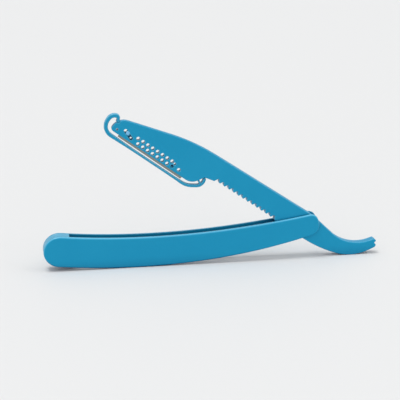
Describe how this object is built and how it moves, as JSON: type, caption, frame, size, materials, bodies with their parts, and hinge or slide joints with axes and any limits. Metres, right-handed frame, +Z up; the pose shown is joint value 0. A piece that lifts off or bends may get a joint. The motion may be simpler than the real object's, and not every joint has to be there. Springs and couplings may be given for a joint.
{
  "type": "folding prep razor",
  "caption": "Folding plastic prep razor: bowed handle scales, a toothed blade arm with a curved finger tail, a clamped perforated steel blade and a swinging edge guard.",
  "frame": {"origin": "middle of the overall length and thickness, on the surface that the half-open razor stands on", "axes": "+X along the handle from its closed end towards the pivot and tail, -Y towards the front scale, +Z up"},
  "size_m": [0.1694, 0.008, 0.0777],
  "materials": {
    "turquoise_plastic": "satin moulded plastic",
    "blade_steel": "ground stainless strip",
    "pin_steel": "drawn steel"
  },
  "bodies": {
    "handle": {"handle_front_scale": "turquoise_plastic", "handle_rear_scale": "turquoise_plastic", "pivot_pin": "pin_steel"},
    "arm": {"blade_arm": "turquoise_plastic", "blade": "blade_steel", "blade_cover": "turquoise_plastic"},
    "guard": {"edge_guard": "turquoise_plastic"}
  },
  "joints": [
    {"name": "arm_fold", "type": "hinge", "parent": "handle", "child": "arm", "pos_m": [0.04868, 0, 0.01729], "axis": [0, 1, 0], "range_deg": [-34, 185]},
    {"name": "guard_swing", "type": "hinge", "parent": "arm", "child": "guard", "pos_m": [-0.04652, 0, 0.07416], "axis": [0, 1, 0], "range_deg": [0, 35]}
  ]
}
